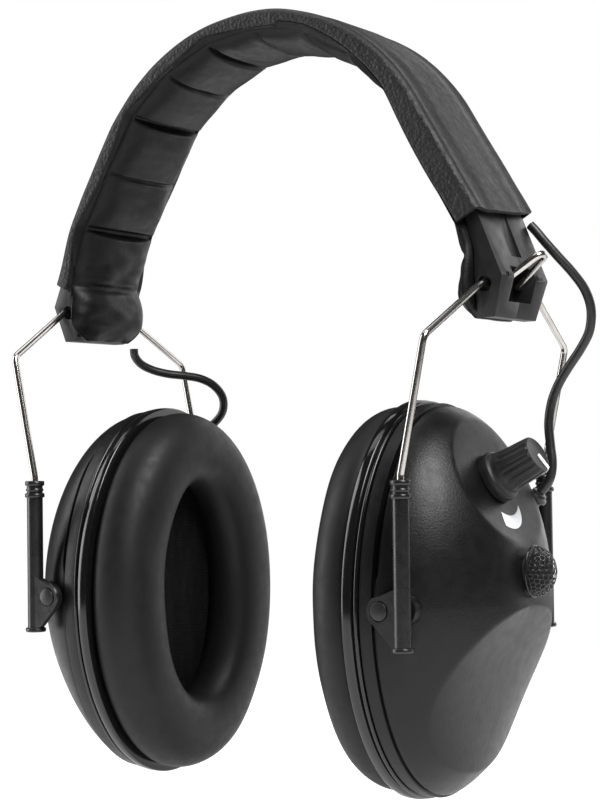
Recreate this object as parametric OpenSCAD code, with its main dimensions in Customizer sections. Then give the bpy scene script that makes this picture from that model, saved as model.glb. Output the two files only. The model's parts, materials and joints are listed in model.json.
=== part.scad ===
// Folding over-the-head earmuff hearing protector with sound pass-through electronics.
// +X points to the wearer's side that carries the volume knob, -Y is the front, +Z is up.
// The origin is the underside of the head pad at the crown, where the head carries the muff.

/* [Headband] */
// Height of the fold hinges below the crown of the pad underside
pivot_drop = 73.5; // [60:0.5:90]
// Distance of each fold hinge from the middle
pivot_x = 74.1; // [60:0.1:90]
// Height of the band's outer face above the pad underside at the crown
band_top = 10.9; // [8:0.1:16]
// Outer radius of the crown arc
crown_r = 64.5; // [50:0.5:90]
// Half angle of the crown arc
crown_half = 58; // [40:1:70]
// Radius of the flare from the crown arc to the left end block
flare_left = 400; // [150:10:2000]
// Radius of the flare from the crown arc to the right end block
flare_right = 1000; // [150:10:2000]
// Width of the leathercloth cover
cover_w = 36; // [28:0.5:50]
// Length of the cover along its outer face from the crown to the left end
cover_left = 115.3; // [80:0.1:125]
// Length of the cover along its outer face from the crown to the right end
cover_right = 104.8; // [80:0.1:125]

/* [Wire yokes] */
// Diameter of the spring wire
wire_d = 2; // [1.5:0.1:3]
// Distance of the yoke's shoulder bend and tubes from the middle plane, front and rear
yoke_y = 41; // [35:0.5:50]
// Length of a slider tube
tube_l = 44.8; // [30:0.1:60]
// Outer diameter of a slider tube
tube_d = 4.7; // [4:0.1:7]
// Length of wire that the tube holds when the muff is retracted
leg_l = 41; // [25:0.5:44]

/* [Ear cups] */
// Height of the cup's ring
ring_h = 112; // [95:1:130]
// Width of the cup's ring, front to rear
ring_w = 82; // [70:1:100]
// Height of the cup's centre below the crown of the pad underside
cup_drop = 160; // [140:1:190]
// Distance of the cushion's sealing face from the middle
seal_x = 30; // [25:0.5:40]
// Height of the ear opening
ear_h = 64; // [50:1:80]
// Width of the ear opening
ear_w = 34; // [28:1:45]
// Depth of the shell's dome
dome_h = 26.5; // [20:0.5:40]
// Wall of the shell
wall = 2; // [1.2:0.1:3]

/* [Volume knob] */
// Tilt of the knob's axis above the horizontal
knob_tilt = 27; // [0:1:45]
// Diameter of the knob's foot
knob_foot_d = 14.5; // [10:0.5:20]
// Number of grip flutes
flutes = 18; // [8:1:30]

/* [Hidden] */
$fn = 48;
wire_r = wire_d / 2;
pivot_z = -pivot_drop;
cup_z = -cup_drop;
pin_x = 57.5;
pin_r = 1.5;
lug_y = 40.3;
lug_t = 2.6;
head_sunk = 0.6;
tube_x = 63.6;
tube_top = -125.8;
bend = [71.2, yoke_y, -88.6];
loop_tilt = 36.7;
loop_reach = 21;
ring_x = 44.4;
shell_x = 49.4;
dome_x = 54.3;
step = 0.8;
dome_a = ring_h / 2 - 1.8;
dome_b = ring_w / 2 - 1.8;
low_facet = [-184.1, 28, 23.2, 8];     // height of its centre, half width, half height, depth
high_facet = [-126.9, 19, 17.4, 5.3];
knob_at = [69.3, 0, -126.3];
mic_z = -151.5;
cell_d = 10.5;
cell_l = 44.5;
cells = [[58.6, -173.5], [57.2, -184.3]];
cover_box = [[60, -24, -199], [26, 48, 30]];   // corner and size of the battery cover's cut
post_at = [for (y = [-24, 24], z = [-35, 35]) [y, z]];
gland_at = [69.2, 22, -133.6];
gland_turn = [0, 40, 12];
running = 0.08;                        // clearance round a moving wire or pin
cable_r = 1.35;
right_route = [[73.6, 15.3, -55], [75.4, 15.5, -57], [77.6, 16.4, -60], [80.6, 18.4, -64.2],
    [83.8, 21, -68.8], [86.3, 23.4, -73.6], [87.3, 25, -79], [86.2, 26, -85], [83.2, 26.3, -90],
    [79.6, 26.2, -94.8], [76.4, 26, -99.6], [74.2, 25.6, -105], [73.4, 25.2, -111],
    [74, 24.8, -117], [74.8, 24.2, -122.6], [74.2, 23.4, -127], [71.8, 22.6, -130.4]];
left_route = [[-68.4, 12, -84.1], [-68.4, 12.5, -86.5], [-67.4, 14.6, -89.1], [-65, 17.8, -91],
    [-61.6, 21.4, -92.2], [-58, 25.2, -92.8], [-54.4, 29.2, -93.8], [-51.6, 32.8, -96.2],
    [-50, 35.2, -100.2], [-51, 35.9, -105], [-54.6, 34.6, -109.2], [-59.4, 31.9, -112.8],
    [-64.8, 29.2, -115.8], [-70.4, 26.8, -119], [-74.8, 25.2, -123.2], [-75.4, 24, -127.6],
    [-72.2, 22.8, -130.4]];
charcoal = [0.075, 0.075, 0.078];
gloss = [0.03, 0.03, 0.032];
leather = [0.11, 0.105, 0.105];
steel = [0.75, 0.74, 0.72];
white = [0.85, 0.85, 0.87];

// ---- outlines and solids shared by the sub-parts ----

// A point of the band's section: s along the outer face from the crown, d below that face.
function arc_s() = crown_r * crown_half * PI / 180;
function flare(s) = s < 0 ? flare_left : flare_right;
function half_band(s, d, r2) =
    let (s1 = arc_s(),
         a = s < s1 ? s / crown_r * 180 / PI : crown_half + (s - s1) / r2 * 180 / PI,
         r = s < s1 ? crown_r : r2,
         cx = s < s1 ? 0 : (crown_r - r2) * sin(crown_half),
         cz = band_top - crown_r + (s < s1 ? 0 : (crown_r - r2) * cos(crown_half)))
    [cx + (r - d) * sin(a), cz + (r - d) * cos(a)];
function band_pt(s, d) =
    let (p = half_band(abs(s), d, flare(s))) [s < 0 ? -p[0] : p[0], p[1]];
function band_line(s0, s1, d0, d1, n) =
    [for (i = [0:n]) let (t = i / n) band_pt(s0 + (s1 - s0) * t, d0 + (d1 - d0) * t)];
function reverse(v) = [for (i = [len(v) - 1:-1:0]) v[i]];

// A prism along Y between two places, from an outline in X and Z.
module along_y(y0, y1) {
    translate([0, y1, 0]) rotate([90, 0, 0]) linear_extrude(y1 - y0) children();
}

// A prism along X between two places, from an outline in Y and Z.
module along_x(x0, x1) {
    translate([x0, 0, 0]) rotate([90, 0, 90]) linear_extrude(x1 - x0) children();
}

// A layer of the band between two depths.
module band_layer(s0, s1, d0, d1, y0, y1, n = 36) {
    along_y(y0, y1)
        polygon(concat(band_line(s0, s1, d0, d0, n), reverse(band_line(s0, s1, d1, d1, n))));
}

module oval(b, a, n = 64) {
    polygon([for (i = [0:n - 1]) [b * cos(i * 360 / n), a * sin(i * 360 / n)]]);
}

// An oval plate across the cup, with an oval hole.
module oval_plate(x0, x1, b, a, hole_b = 0, hole_a = 0) {
    along_x(x0, x1) translate([0, cup_z]) difference() {
        oval(b, a);
        if (hole_b > 0) oval(hole_b, hole_a);
    }
}

module side(s) {
    if (s > 0) children();
    else mirror([1, 0, 0]) children();
}

// Closed mesh from equal rings of points, joined in order; closed = true joins the last to the first.
function grid_faces(rings, n, closed) =
    [for (i = [0:rings - (closed ? 1 : 2)], j = [0:n - 1])
        let (a = i * n + j, b = i * n + (j + 1) % n,
             c = (i + 1) % rings * n + j, d = (i + 1) % rings * n + (j + 1) % n)
        each [[a, c, b], [b, c, d]]];

function unit(v) = v / norm(v);
function tangent(p, i) = unit(p[min(i + 1, len(p) - 1)] - p[max(i - 1, 0)]);
// Points with each inner corner replaced by an arc of its own radius.
function corner(a, c, b, r, k) =
    let (u = unit(a - c), v = unit(b - c), half = acos(u * v) / 2, o = c + unit(u + v) * r / sin(half),
         p = c + u * r / tan(half) - o, q = c + v * r / tan(half) - o, w = 180 - 2 * half)
    [for (i = [0:k]) o + (sin((1 - i / k) * w) * p + sin(i / k * w) * q) / sin(w)];
function rounded(p, r, k) = [p[0],
    for (i = [1:len(p) - 2]) each corner(p[i - 1], p[i], p[i + 1], r[i], k), p[len(p) - 1]];
// A smooth line through points.
function smooth(p, k) =
    [for (i = [0:len(p) - 2], j = [0:k - 1])
        let (t = j / k, a = p[max(i - 1, 0)], b = p[i], c = p[i + 1], d = p[min(i + 2, len(p) - 1)])
        0.5 * (2 * b + (c - a) * t + (2 * a - 5 * b + 4 * c - d) * t * t
            + (3 * b - a - 3 * c + d) * t * t * t),
     p[len(p) - 1]];
// A tube along points, as one mesh.
module tube(p, r, n = 8, ref = [0, 1, 0]) {
    m = len(p);
    rings = [for (i = [0:m - 1])
        let (t = tangent(p, i), u = unit(cross(t, ref)), v = cross(t, u))
        each [for (j = [0:n - 1]) p[i] + r * (cos(j * 360 / n) * u + sin(j * 360 / n) * v)]];
    polyhedron(concat(rings, [p[0], p[m - 1]]),
        concat(grid_faces(m, n, false),
            [for (j = [0:n - 1]) [m * n, j, (j + 1) % n]],
            [for (j = [0:n - 1]) [m * n + 1, (m - 1) * n + (j + 1) % n, (m - 1) * n + j]]));
}

// ---- headband ----

module band_cover() {
    color(leather) difference() {
        skirt = 8;
        along_y(-cover_w / 2, cover_w / 2)
            polygon(concat(band_line(-cover_left, cover_right, 0, 0, 44),
                reverse(concat(band_line(-cover_left, -60, skirt, 5, 8),
                    band_line(-58, 58, 5, 5, 20), band_line(60, cover_right, 5, skirt, 8)))));
        band_layer(-cover_left - 5, cover_right + 5, 1.2, 12,
            -cover_w / 2 + 1.2, cover_w / 2 - 1.2, 44);
    }
}

module band_foam() {
    color([0.2, 0.2, 0.2]) band_layer(-84, 84, 1.5, 2.8, -16, 16);
}

module band_spring() {
    color(steel) band_layer(-102, 102, 3.4, 4.3, -8, 8, 44);
}

// The quilted head pad: the long cushion and the two end caps behind the blocks.
module band_pad() {
    cap = [[70.8, -8], [70.8, 9], [64.6, 26], [59, 37], [56, 34], [61, 24], [66, 9], [66.2, -8],
        [68.5, -10.5]];
    color(charcoal) union() {
        band_layer(-88, 88, 5, 10, -16.4, 16.4, 40);
        for (s = [1, -1]) side(s) along_y(-16.4, 16.4) translate([0, pivot_z]) polygon(cap);
    }
}

module band_lead() {
    color(charcoal) tube([for (i = [0:36]) let (p = band_pt(-90 + 5 * i, 3.9)) [p[0], 12, p[1]]], 0.8);
}

// Half of an end block: f = -1 is the front half, f = 1 the rear half.
module block(s, f) {
    face = [[76.5, -9], [79.6, 2], [72.2, 20], [68.3, 27], [65.7, 27], [71.2, 9.4], [71.2, -7.6],
        [72.6, -9]];
    groove = [[80, 8], [70, 32], [68.5, 31.4], [75.6, 8]];
    half_w = 13.6;
    color(gloss) side(s) difference() {
        union() {
            translate([0, 0, pivot_z]) intersection() {
                along_y(min(0, f * half_w), max(0, f * half_w)) polygon(face);
                // the cheeks taper towards the bottom
                along_x(60, 90) polygon([for (p = [[0, -9], [12, -9], [half_w, 2], [half_w, 27], [0, 27]])
                    [f * p[0], p[1]]]);
            }
            translate([0, 0, pivot_z]) along_y(min(f * 7.2, f * 10), max(f * 7.2, f * 10))
                translate([79.1, 2.4]) circle(r = 0.9, $fn = 24);
        }
        // window for the wire loop
        translate([72.6, -6.5, pivot_z - 4.6]) cube([12, 13, 9.6]);
        // groove above the window
        translate([0, 0, pivot_z]) along_y(-3, 3) polygon(groove);
        // bore for the yoke's axle, with its countersink
        translate([pivot_x, f < 0 ? -20 : 0, pivot_z]) rotate([-90, 0, 0])
            cylinder(r = wire_r + running, h = 20);
        translate([pivot_x, f * 15 - (f > 0 ? 3.2 : 0), pivot_z]) rotate([-90, 0, 0])
            cylinder(r = 2.1, h = 3.2);
        // slot for the band's spring
        spring_slot(s);
    }
}

module spring_slot(s) {
    side(s) along_y(-8.2, 8.2) {
        line = s > 0 ? concat(band_line(80, 103, 3.3, 3.3, 6), reverse(band_line(80, 103, 4.4, 4.4, 6)))
            : concat(band_line(-80, -103, 3.3, 3.3, 6), reverse(band_line(-80, -103, 4.4, 4.4, 6)));
        polygon(line);
    }
}

// ---- wire yokes and sliders ----

// One length of spring wire: tube, shoulder, axle, loop, axle, shoulder, tube.
module wire(s) {
    axle_in = 5.4;
    half = function (f) [[tube_x, f * yoke_y, tube_top - leg_l], [tube_x, f * yoke_y, tube_top + 1.2],
        [bend[0], f * bend[1], bend[2]], [pivot_x, f * 15, pivot_z], [pivot_x, f * axle_in, pivot_z]];
    loop = [pivot_x + loop_reach * cos(loop_tilt), 0, pivot_z + loop_reach * sin(loop_tilt)];
    bends = [0, 3, 3, 2.5, 2.2];
    color(steel) side(s) tube(rounded(concat(half(-1), [loop], reverse(half(1))),
        concat(bends, [2.4], reverse(bends)), 6), wire_r, 12, [1, 0, 0]);
}

// Slider tube with its lug: f = -1 front, f = 1 rear.
module slider_tube(s, f) {
    rings = [[0, 1.5, 2.85], [2.2, 0.9, 2.6], [3.6, 1.4, 2.9], [tube_l - 1.2, 1.2, 3]];
    color(gloss) side(s) difference() {
        union() {
            translate([tube_x, f * yoke_y, tube_top - tube_l]) cylinder(d = tube_d, h = tube_l);
            for (q = rings) translate([tube_x, f * yoke_y, tube_top - q[0] - q[1]])
                cylinder(r = q[2], h = q[1]);
            along_y(f > 0 ? lug_y : -lug_y - lug_t, f > 0 ? lug_y + lug_t : -lug_y) union() {
                translate([pin_x, cup_z]) circle(r = 4);
                polygon([[pin_x, cup_z + 4], [tube_x, cup_z + 6.4], [tube_x, tube_top - tube_l + 1],
                    [tube_x - 2.2, tube_top - tube_l + 1], [pin_x - 2.6, cup_z - 3]]);
            }
        }
        translate([tube_x, f * yoke_y, tube_top - leg_l - 1.5]) cylinder(r = wire_r + running, h = leg_l + 3);
        translate([pin_x, f * yoke_y - 6, cup_z]) rotate([-90, 0, 0]) cylinder(r = pin_r, h = 12);
        translate([pin_x, f * (lug_y + lug_t - head_sunk), cup_z]) rotate([-90 * f, 0, 0])
            cylinder(r = 2.8, h = 4);
    }
}

module pins(s) {
    head = 0.9;
    inner = 35.4;
    face = lug_y + lug_t - head_sunk;
    color(gloss) side(s) for (f = [1, -1]) translate([pin_x, 0, cup_z]) rotate([-90 * f, 0, 0]) union() {
        translate([0, 0, face]) cylinder(r = 2.5, h = head);
        translate([0, 0, inner]) cylinder(r = pin_r, h = face - inner);
    }
}

// ---- ear cups ----

// Height of the shell's outer face above the step, at a place y, z measured from the cup's centre.
function dish(y, z, f) =
    let (r2 = pow(y / f[1], 2) + pow((z + cup_z - f[0]) / f[2], 2)) r2 < 1 ? f[3] * (1 - r2) : 0;
function dome(y, z, facets) =
    let (q = max(0, 1 - pow(y / dome_b, 2) - pow(z / dome_a, 2)),
         e = 0.6 + (z < 0 ? 0.25 * -z / dome_a : 0))
    dome_h * pow(q, e) - (facets ? dish(y, z, low_facet) + dish(y, z, high_facet) : 0);

// The shell as one closed mesh: outer rings from the rim to the pole, then inner rings back.
module shell_mesh(outer = 13, inner = 9, n = 56) {
    ring = function (x, b, a) [for (j = [0:n - 1])
        [x, b * cos(j * 360 / n), cup_z + a * sin(j * 360 / n)]];
    cap = function (k, count, shrink, drop) [for (j = [0:n - 1])
        let (u = 90 * k / count, c = cos(u),
             y = (dome_b - shrink) * c * cos(j * 360 / n), z = (dome_a - shrink) * c * sin(j * 360 / n),
             g = (dome_b - shrink) / dome_b)
        [dome_x - drop + dome(y / g, z * dome_a / (dome_a - shrink), true) * (dome_h - drop) / dome_h,
            y, cup_z + z]];
    points = concat(
        ring(shell_x, dome_b + step, dome_a + step),
        ring(dome_x - 0.4, dome_b + step, dome_a + step),
        ring(dome_x, dome_b, dome_a),
        [for (k = [1:outer - 1]) each cap(k, outer, 0, 0)],
        [for (k = [inner - 1:-1:1]) each cap(k, inner, wall, wall)],
        ring(dome_x - wall, dome_b - wall, dome_a - wall),
        ring(shell_x, dome_b + step - wall, dome_a + step - wall));
    rings = len(points) / n;
    top = 2 + outer - 1;
    strip = function (i0, i1) [for (i = [i0:i1 - 1], j = [0:n - 1])
        let (a = i * n + j, b = i * n + (j + 1) % n, c = a + n, d = b + n) each [[a, c, b], [b, c, d]]];
    pole_out = dome_x + dome(0, 0, true);
    pole_in = dome_x - wall + dome(0, 0, true) * (dome_h - wall) / dome_h;
    last = rings - 1;
    polyhedron(concat(points, [[pole_out, 0, cup_z], [pole_in, 0, cup_z]]),
        concat(strip(0, top), strip(top + 1, last),
            [for (j = [0:n - 1]) [top * n + j, rings * n, top * n + (j + 1) % n]],
            [for (j = [0:n - 1]) [(top + 1) * n + (j + 1) % n, rings * n + 1, (top + 1) * n + j]],
            [for (j = [0:n - 1]) let (a = last * n + j, b = last * n + (j + 1) % n, c = j, d = (j + 1) % n)
                each [[a, c, b], [b, c, d]]]));
}

module shell(s) {
    boss_r = 4.2;
    boss_out = 4.1;
    boss_y = 38.1;
    color(charcoal) side(s) difference() {
        union() {
            shell_mesh();
            // flat boss around each pin
            for (f = [1, -1]) along_y(f > 0 ? 34.6 : -boss_y, f > 0 ? boss_y : -34.6) translate([0, cup_z])
                union() {
                    translate([pin_x + boss_out, 0]) circle(r = boss_r);
                    translate([shell_x + 2, -boss_r]) square([pin_x + boss_out - shell_x - 2, 2 * boss_r]);
                }
            // screw posts
            for (p = post_at) translate([shell_x + 1.9, p[0], cup_z + p[1]]) rotate([0, 90, 0])
                cylinder(r = 2.8, h = 9.5, $fn = 24);
        }
        for (f = [1, -1]) translate([pin_x, f * 38 - 5, cup_z]) rotate([-90, 0, 0])
            cylinder(r = pin_r + running, h = 10, $fn = 32);
        for (p = post_at) translate([shell_x, p[0], cup_z + p[1]]) rotate([0, 90, 0])
            cylinder(r = 1.2, h = 8.5, $fn = 24);
        translate([70, 0, mic_z]) rotate([0, 90, 0]) cylinder(r = 4.4, h = 20, $fn = 32);
        gland_bore();
        if (s > 0) knob_axis(-12) cylinder(r = 3.5, h = 24, $fn = 32);
        else translate(cover_box[0]) cube(cover_box[1]);
    }
}

module knob_axis(h = 0) {
    translate(knob_at) rotate([0, 90 - knob_tilt, 0]) translate([0, 0, h]) children();
}

module gland_bore() {
    translate(gland_at) rotate(gland_turn) {
        translate([0, 0, -6]) cylinder(r = 2.4, h = 14, $fn = 24);
        translate([0, 0, 1.5]) cylinder(r = 3.4, h = 8, $fn = 24);
    }
}

module gland(s) {
    color(gloss) side(s) translate(gland_at) rotate(gland_turn) difference() {
        union() {
            translate([0, 0, -5]) cylinder(r = 2.3, h = 9, $fn = 24);
            translate([0, 0, 1.6]) cylinder(r = 3.2, h = 1.4, $fn = 24);
        }
        translate([0, 0, -6]) cylinder(r = 1.4, h = 12, $fn = 24);
    }
}

// The glossy ring with two lips that holds the cushion.
module ring(s) {
    b = ring_w / 2;
    a = ring_h / 2;
    hole = [27, 42];
    color(gloss) side(s) union() {
        oval_plate(ring_x, ring_x + 1.7, b, a, hole[0], hole[1]);
        oval_plate(ring_x + 1.6, ring_x + 2.9, b - 1.4, a - 1.4, hole[0], hole[1]);
        oval_plate(ring_x + 2.8, ring_x + 4.8, b - 0.3, a - 0.3, hole[0], hole[1]);
    }
}

module cushion(s, n = 56) {
    section = [[0.08, 44.1], [0, 41], [0, 35], [0.07, 32.2], [0.2, 30.4], [0.3, 30], [0.56, 30],
        [0.74, 30.7], [0.88, 32.8], [0.97, 36.2], [1, 39.6], [0.98, 42.6], [0.92, 44.1]];
    points = [for (q = section, j = [0:n - 1])
        let (b = ear_w / 2 + (ring_w / 2 - 1.5 - ear_w / 2) * q[0],
             a = ear_h / 2 + (ring_h / 2 - 1.7 - ear_h / 2) * q[0])
        [q[1] + seal_x - 30, b * cos(j * 360 / n), cup_z + a * sin(j * 360 / n)]];
    color([0.06, 0.06, 0.065]) side(s)
        polyhedron(points, [for (f = grid_faces(len(section), n, true)) [f[0], f[2], f[1]]]);
}

module foam(s) {
    color([0.05, 0.05, 0.055]) side(s) oval_plate(ring_x + 0.8, ring_x + 4.4, 26.5, 41.5);
}

module baffle(s) {
    color(charcoal) side(s) difference() {
        oval_plate(shell_x + 0.1, shell_x + 1.7, dome_b - wall - 0.3, dome_a - wall - 0.3);
        translate([shell_x - 1, 0, cup_z]) rotate([0, 90, 0]) cylinder(r = 13, h = 5, $fn = 64);
        for (p = post_at) translate([shell_x - 1, p[0], cup_z + p[1]]) rotate([0, 90, 0])
            cylinder(r = 1.2, h = 5, $fn = 24);
    }
}

module screws(s) {
    color(steel) side(s) for (p = post_at) translate([shell_x, p[0], cup_z + p[1]]) rotate([0, 90, 0])
        cylinder(r = 1.15, h = 7.5, $fn = 24);
}

module speaker(s) {
    color([0.15, 0.15, 0.15]) side(s) translate([0, 0, cup_z]) rotate([0, 90, 0]) union() {
        translate([0, 0, shell_x + 1.8]) cylinder(r = 14, h = 1.4);
        translate([0, 0, shell_x + 3.2]) cylinder(r1 = 11, r2 = 8, h = 2.6);
        translate([0, 0, shell_x + 5.8]) cylinder(r = 7, h = 2);
    }
}

module mic(s) {
    color(gloss) side(s) translate([0, 0, mic_z]) rotate([0, 90, 0]) translate([0, 0, 75])
        cylinder(r = 4.3, h = 5.9, $fn = 32);
}

// The oval ball of wire mesh over the microphone.
module mic_mesh(s, rings = 6, n = 24) {
    b = 5.4;
    a = 6.9;
    h = 6.2;
    x0 = 81;
    pts = [for (k = [0:rings - 1], j = [0:n - 1]) let (u = 90 * k / rings)
        [x0 + h * sin(u), b * cos(u) * cos(j * 360 / n), mic_z + a * cos(u) * sin(j * 360 / n)]];
    top = (rings - 1) * n;
    color([0.02, 0.02, 0.02]) side(s) polyhedron(concat(pts, [[x0 + h, 0, mic_z], [x0, 0, mic_z]]),
        concat(grid_faces(rings, n, false),
            [for (j = [0:n - 1]) [top + j, rings * n, top + (j + 1) % n]],
            [for (j = [0:n - 1]) [(j + 1) % n, rings * n + 1, j]]));
}

// ---- electronics and controls ----

module right_circuit() {
    color([0.05, 0.25, 0.1]) translate([60.6, -20, cup_z - 24]) cube([1.6, 40, 40]);
}

module potentiometer() {
    color([0.3, 0.3, 0.32]) knob_axis(-13) difference() {
        cylinder(r = 5.5, h = 6);
        translate([0, 0, 1]) cylinder(r = 3.05, h = 8, $fn = 32);
    }
}

module knob_shaft() {
    color(steel) knob_axis(-11.8) cylinder(r = 3, h = 18.8, $fn = 32);
}

module volume_knob() {
    foot_r = knob_foot_d / 2;
    color(charcoal) knob_axis(0.5) difference() {
        union() {
            cylinder(r = foot_r, h = 2.2);
            translate([0, 0, 2.2]) cylinder(r1 = foot_r - 0.9, r2 = foot_r - 1.3, h = 2);
            translate([0, 0, 4.2]) cylinder(r1 = 5.9, r2 = 5.3, h = 10.1);
        }
        translate([0, 0, -1]) cylinder(r = 3, h = 7.5, $fn = 32);
        for (i = [0:flutes - 1]) rotate([0, 0, i * 360 / flutes + 10]) translate([6.15, 0, 4.8])
            rotate([0, -3.4, 0]) cylinder(r = 0.55, h = 11.5, $fn = 16);
    }
}

module knob_pointer() {
    color(white) knob_axis(14.8) rotate([0, 0, 29]) translate([-0.4, -0.45, 0.02]) cube([5.5, 0.9, 0.3]);
}

module battery_cover() {
    gap = 0.35;
    color(charcoal) side(-1) intersection() {
        shell_mesh();
        translate(cover_box[0] + [0, gap, gap]) cube(cover_box[1] - [0, 2 * gap, 2 * gap]);
    }
}

// Open frame that holds the two cells behind the cover.
module battery_box() {
    rim = 1.2;
    back = 55.4;
    front = 57.6;
    top = cells[0][1] + cell_d / 2 + 0.3;
    low = cells[1][1] - cell_d / 2 - 0.1;
    color(charcoal) side(-1) along_x(back, front) difference() {
        translate([-cell_l / 2 - 0.1 - rim, low - 0.8]) square([cell_l + 0.2 + 2 * rim, top - low + 1.6]);
        translate([-cell_l / 2 - 0.1, low]) square([cell_l + 0.2, top - low]);
    }
}

module battery_cells() {
    nub = 0.9;
    color([0.7, 0.6, 0.3]) side(-1) for (c = cells) translate([c[0], 0, c[1]]) rotate([90, 0, 0]) union() {
        translate([0, 0, nub - cell_l / 2]) cylinder(d = cell_d, h = cell_l - nub);
        translate([0, 0, -cell_l / 2]) cylinder(r = 1.9, h = nub);
    }
}

// ---- connecting cables ----

module cable(route) {
    color(charcoal) tube(smooth(route, 3), cable_r);
}

band_cover();
band_foam();
band_spring();
band_pad();
band_lead();
block(1, -1);  // right_block_front
block(1, 1);  // right_block_rear
block(-1, -1);  // left_block_front
block(-1, 1);  // left_block_rear
wire(1);  // right_wire
wire(-1);  // left_wire
slider_tube(1, -1);  // right_tube_front
slider_tube(1, 1);  // right_tube_rear
slider_tube(-1, -1);  // left_tube_front
slider_tube(-1, 1);  // left_tube_rear
pins(1);  // right_pins
pins(-1);  // left_pins
shell(1);  // right_shell
shell(-1);  // left_shell
ring(1);  // right_ring
ring(-1);  // left_ring
cushion(1);  // right_cushion
cushion(-1);  // left_cushion
foam(1);  // right_foam
foam(-1);  // left_foam
baffle(1);  // right_baffle
baffle(-1);  // left_baffle
screws(1);  // right_screws
screws(-1);  // left_screws
speaker(1);  // right_speaker
speaker(-1);  // left_speaker
mic(1);  // right_mic
mic(-1);  // left_mic
mic_mesh(1);  // right_mic_mesh
mic_mesh(-1);  // left_mic_mesh
right_circuit();
potentiometer();
knob_shaft();
volume_knob();
knob_pointer();
battery_cover();
battery_box();
battery_cells();
cable(right_route);  // right_cable
cable(left_route);  // left_cable
gland(1);  // right_gland
gland(-1);  // left_gland
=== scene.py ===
"""Looks of the folding earmuff: detailed shells, soft pieces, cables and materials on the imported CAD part.

Lengths are in millimetres until a mesh is made, except the cable routes and the camera, which are in metres.
"""
import json
import math

import bmesh
import bpy
from mathutils import Matrix, Vector, noise


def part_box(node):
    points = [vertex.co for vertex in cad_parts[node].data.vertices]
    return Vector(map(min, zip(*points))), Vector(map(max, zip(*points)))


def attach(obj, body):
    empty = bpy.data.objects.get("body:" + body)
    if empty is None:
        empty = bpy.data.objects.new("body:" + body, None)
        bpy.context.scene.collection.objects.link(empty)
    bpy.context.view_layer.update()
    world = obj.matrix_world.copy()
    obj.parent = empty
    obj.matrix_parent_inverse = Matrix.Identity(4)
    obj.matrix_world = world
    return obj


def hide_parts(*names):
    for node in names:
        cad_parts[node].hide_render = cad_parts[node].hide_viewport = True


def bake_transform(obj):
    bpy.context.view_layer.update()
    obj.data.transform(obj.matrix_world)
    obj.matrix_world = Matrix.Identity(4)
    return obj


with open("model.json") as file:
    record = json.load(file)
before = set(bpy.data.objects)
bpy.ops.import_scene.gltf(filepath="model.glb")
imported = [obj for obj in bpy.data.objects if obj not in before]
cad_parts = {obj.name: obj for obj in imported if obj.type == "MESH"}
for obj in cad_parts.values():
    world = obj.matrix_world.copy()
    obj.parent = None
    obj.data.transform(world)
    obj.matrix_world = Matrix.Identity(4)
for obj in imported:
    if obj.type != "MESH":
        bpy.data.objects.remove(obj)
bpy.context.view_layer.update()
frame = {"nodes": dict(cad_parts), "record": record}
MM = 0.001
SIDES = {"right": 1, "left": -1}


def span(node, axis):
    """Lowest and highest place of a CAD node along an axis, in mm."""
    low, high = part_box(node)
    return low[axis] / MM, high[axis] / MM


# ---- sizes taken from the frame ----
RING_X0, RING_X1 = span("right_ring", 0)
CUP_LOW, CUP_TOP = span("right_ring", 2)
CUP_Z = (CUP_LOW + CUP_TOP) / 2
RING_A = (CUP_TOP - CUP_LOW) / 2
RING_B = span("right_ring", 1)[1]
SHELL_X = span("right_shell", 0)[0]
SEAL_X = span("right_cushion", 0)[0]
BAND_TOP = span("band_cover", 2)[1]
COVER_Y = span("band_cover", 1)[1]
PAD_Y = span("band_pad", 1)[1]
WIRE_LOW = span("right_wire", 2)[0]
WIRE_R = 1.0
YOKE_Y = span("right_wire", 1)[1] - WIRE_R
TUBE_LOW, TUBE_TOP = span("right_tube_front", 2)
JOINTS = {j["name"]: j for j in frame["record"]["behaviour"]["joints"]}
PIVOT_X, _, PIVOT_Z = (v / MM for v in JOINTS["right_fold"]["pos_m"])
PIN_X = JOINTS["right_tilt"]["pos_m"][0] / MM
TUBE_X = PIN_X + 6.1
KNOB_AT = [v / MM for v in JOINTS["volume_turn"]["pos_m"]]
KNOB_TILT = math.degrees(math.atan2(JOINTS["volume_turn"]["axis"][2], JOINTS["volume_turn"]["axis"][0]))

# ---- camera ----
CAMERA_AT = Vector((0.3126, -0.4530, -0.1190))
CAMERA_LOOKS_AT = Vector((0.0045, 0.0, -0.1037))
CAMERA_ROLL = -0.73
CAMERA_LENS = 82.7


def add_camera():
    data = bpy.data.cameras.new("camera")
    data.lens = CAMERA_LENS
    data.sensor_width = 36
    data.clip_start = 0.01
    camera = bpy.data.objects.new("camera", data)
    bpy.context.scene.collection.objects.link(camera)
    ahead = (CAMERA_LOOKS_AT - CAMERA_AT).normalized()
    level = ahead.cross(Vector((0, 0, 1))).normalized()
    right = Matrix.Rotation(math.radians(-CAMERA_ROLL), 3, ahead) @ level
    up = right.cross(ahead)
    turn = Matrix((right, up, -ahead)).transposed()
    camera.matrix_world = Matrix.Translation(CAMERA_AT) @ turn.to_4x4()
    bpy.context.scene.camera = camera


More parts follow.
